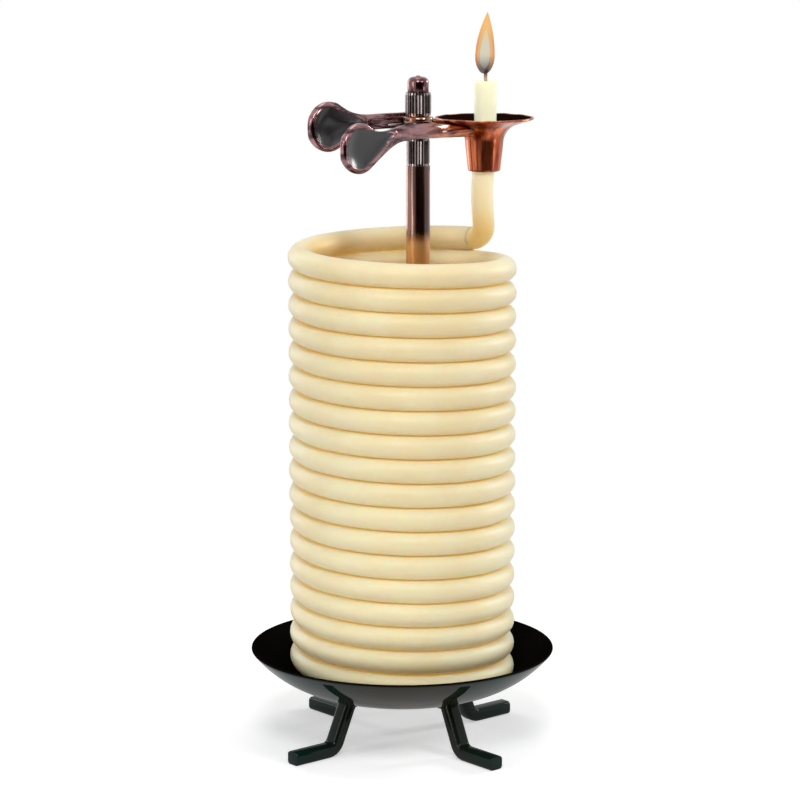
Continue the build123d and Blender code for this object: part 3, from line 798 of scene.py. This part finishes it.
# Studio, in metres
CAMERA_PLACE, CAMERA_TILT = (-0.0009, -1.1379, 0.3452), 79.76
CAMERA_LENS, CAMERA_SENSOR, CAMERA_END = 130.7, 36, 20
LAMPS = (  # name, place, size and power in watts
    ("left", (-1.0, -0.6, 0.3), (0.2, 0.9), 3.6),
    ("right_low", (1.07, -0.45, -0.22), (0.25, 0.35), 1.5),
    ("key", (0.8, -0.75, 0.85), (0.25, 0.25), 3.2),
    ("front", (-0.05, -1.0, 1.0), (0.4, 0.4), 7.5),
    ("rear_left", (-0.75, 0.7, 0.35), (0.3, 0.8), 2.5),
    ("rear_right", (0.96, 0.48, 0.5), (0.2, 0.25), 3.5),
    ("top", (0.0, 0.1, 1.3), (0.6, 0.6), 3),
)
LAMP_AIM = Vector((0, 0, 0.14))
WORLD_LIGHT = 0.14
FLOOR_R, FLOOR_CLEAR = 0.5, 0.35  # radius, and the share of it that is solid before it fades
CARD_R, CARD_SWEEP, CARD_HEIGHTS = 1.6, 92, (-1.3, 1.0)
CARD_TURN = Matrix.Rotation(math.radians(-115), 3, "Z")


def studio():
    """Camera at the photograph's angle, soft lamps, white backdrop, paper floor and the dark card."""
    scene = bpy.context.scene
    scene.view_settings.view_transform = "Standard"
    camera = bpy.data.objects.new("camera", bpy.data.cameras.new("camera"))
    camera.data.lens, camera.data.sensor_width = CAMERA_LENS, CAMERA_SENSOR
    camera.data.clip_end = CAMERA_END
    camera.location = CAMERA_PLACE
    camera.rotation_euler = (math.radians(CAMERA_TILT), 0, 0)
    scene.collection.objects.link(camera)
    scene.camera = camera
    for name, place, size, power in LAMPS:
        lamp = bpy.data.lights.new(name, "AREA")
        lamp.shape, lamp.size, lamp.size_y, lamp.energy = "RECTANGLE", *size, power
        lamp_object = bpy.data.objects.new(name, lamp)
        lamp_object.location = place
        lamp_object.rotation_euler = (LAMP_AIM - Vector(place)).to_track_quat("-Z", "Y").to_euler()
        scene.collection.objects.link(lamp_object)
    world = bpy.data.worlds.new("studio")
    world.use_nodes = True
    scene.world = world
    backdrop(world.node_tree)
    bm = bmesh.new()
    bmesh.ops.create_circle(bm, cap_ends=True, segments=64, radius=FLOOR_R)
    stage_piece("floor", bm, floor_finish())
    bm = bmesh.new()
    side = [bm.verts.new(CARD_TURN @ Vector((CARD_R, 0, z))) for z in CARD_HEIGHTS]
    bmesh.ops.spin(
        bm,
        geom=[*side, bm.edges.new(side)],
        cent=(0, 0, 0),
        axis=(0, 0, 1),
        angle=math.radians(CARD_SWEEP),
        steps=24,
    )
    card = stage_piece("dark_card", bm, card_finish())
    card.visible_camera = card.visible_diffuse = card.visible_shadow = False


def stage_piece(name, bm, material):
    """A piece of the studio, which isn't part of the object."""
    mesh = bpy.data.meshes.new(name)
    bm.to_mesh(mesh)
    bm.free()
    mesh.materials.append(material)
    piece = bpy.data.objects.new(name, mesh)
    bpy.context.scene.collection.objects.link(piece)
    return piece


def card_finish():
    """Black card that stands behind the camera, where only reflections see it."""
    card = Shader("black_card", roughness=1.0, specular_ior_level=0)
    cloud = card.noise(card.place(), 40)
    card.feed(base_color=card.mix(cloud, (0.010, 0.010, 0.010), (0.020, 0.020, 0.020)))
    return card.material


def shown(tree):
    """1 to the camera, reflections and clear parts, and 0 to the light that falls on the object."""
    path = tree.nodes.new("ShaderNodeLightPath")
    rays = path.outputs["Is Camera Ray"]
    for name in ("Is Glossy Ray", "Is Transmission Ray"):
        most = tree.nodes.new("ShaderNodeMath")
        most.operation = "MAXIMUM"
        tree.links.new(rays, most.inputs[0])
        tree.links.new(path.outputs[name], most.inputs[1])
        rays = most.outputs[0]
    return rays


def floor_finish():
    """White paper that keeps the shadow and fades into the white backdrop."""
    paper = Shader(
        "white_paper",
        base_color=(0.86, 0.86, 0.86, 1),
        roughness=0.9,
        specular_ior_level=0,
        emission_strength=0.45,
    )
    distance = paper.add("ShaderNodeVectorMath", {"operation": "LENGTH"}, [paper.place()], output="Value")
    seen = Value(paper, shown(paper.tree))
    paper.feed(
        emission_color=paper.mix(seen, (0, 0, 0), (1, 1, 1)),
        alpha=1.0 - distance.step(FLOOR_CLEAR * FLOOR_R, FLOOR_R),
    )
    return paper.material


def backdrop(tree):
    """White to the camera, reflections and clear parts, and a weak light to the rest."""
    lit = tree.nodes["Background"]
    lit.inputs["Color"].default_value = (1, 1, 1, 1)
    lit.inputs["Strength"].default_value = WORLD_LIGHT
    white = tree.nodes.new("ShaderNodeBackground")
    white.inputs["Color"].default_value = (1, 1, 1, 1)
    white.inputs["Strength"].default_value = 1
    blend = tree.nodes.new("ShaderNodeMixShader")
    tree.links.new(shown(tree), blend.inputs[0])
    tree.links.new(lit.outputs[0], blend.inputs[1])
    tree.links.new(white.outputs[0], blend.inputs[2])
    tree.links.new(blend.outputs[0], tree.nodes["World Output"].inputs[0])


# The clock in its studio
studio()
wax, enamel, steel = wax_finish(), enamel_finish(), steel_finish()
dark_copper = copper_finish(
    "antique_copper",
    (0.06, 0.024, 0.02),
    (0.45, 0.22, 0.14),
    worn=0.56,
    streak=(260, 260, 12),
    coat=0.7,
    # Painted reflection of the wax on the post below this height.
    painted_wax_reflection=(POST_REFLECTION_Z, (0.50, 0.25, 0.09), (0.92, 0.56, 0.25)),
)
cap_copper = copper_finish("cap_copper", (0.05, 0.016, 0.02), (0.25, 0.12, 0.12), streak=(200, 200, 60))
bright_copper = copper_finish(
    "bright_copper", (0.16, 0.02, 0.008), (0.62, 0.16, 0.055), worn=0.48, streak=(240, 240, 30), rough=0.3
)
sleeve_copper, cast_copper = sleeve_finish(), lever_finish()

drip_dish(enamel)
for side, angle in LEG_ANGLES.items():
    leg(side, angle, enamel)
wax_coil(wax)
wax_tail(wax)
lever("front", FRONT_EYE_Z + FRONT_ARM_LIFT, FRONT_PAD_DROP, FRONT_TIP_DROP, cast_copper)
lever("rear", REAR_EYE_Z + REAR_ARM_LIFT, REAR_PAD_DROP, REAR_TIP_DROP, cast_copper)
eye("front", FRONT_EYE_Z, dark_copper)
eye("rear", REAR_EYE_Z, dark_copper)
for side in SIDE_SIGN:
    socket_half(side, bright_copper)
dome_cap(cap_copper)
for name, radius, base_z, tip_z, colours, opacity, strength in (
    (
        "flame", 3.9, FLAME_BASE_Z, FLAME_TIP_Z,
        ((0.07, 0.035, 0.025), (0.78, 0.29, 0.05), (0.90, 0.46, 0.13)), 0.7, 1.0,
    ),
    (
        "flame_body", 3.0, 268.4, 289.5,
        ((0.12, 0.16, 0.18), (0.42, 0.68, 0.55), (0.70, 0.50, 0.20)), 0.5, 1.5,
    ),
    (
        "flame_core", 2.0, 269.4, 285.5,
        ((0.14, 0.34, 0.45), (0.12, 0.75, 0.88), (0.32, 0.42, 0.26)), 0.9, 2.6,
    ),
):
    flame(name, radius, base_z, tip_z, flame_finish(name, *colours, opacity, strength))

for node, material in {
    "leg_rivets": enamel,
    "post_tube": dark_copper,
    "post_plug": steel,
    "post_screw": steel,
    "screw_washer": steel,
    "pivot_stem": steel,
    "lower_sleeve": sleeve_copper,
    "upper_sleeve": sleeve_copper,
    "thrust_washers": bright_copper,
    "torsion_spring": steel,
    "wick": wick_finish(),
}.items():
    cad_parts[node].data.materials.clear()
    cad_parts[node].data.materials.append(material)
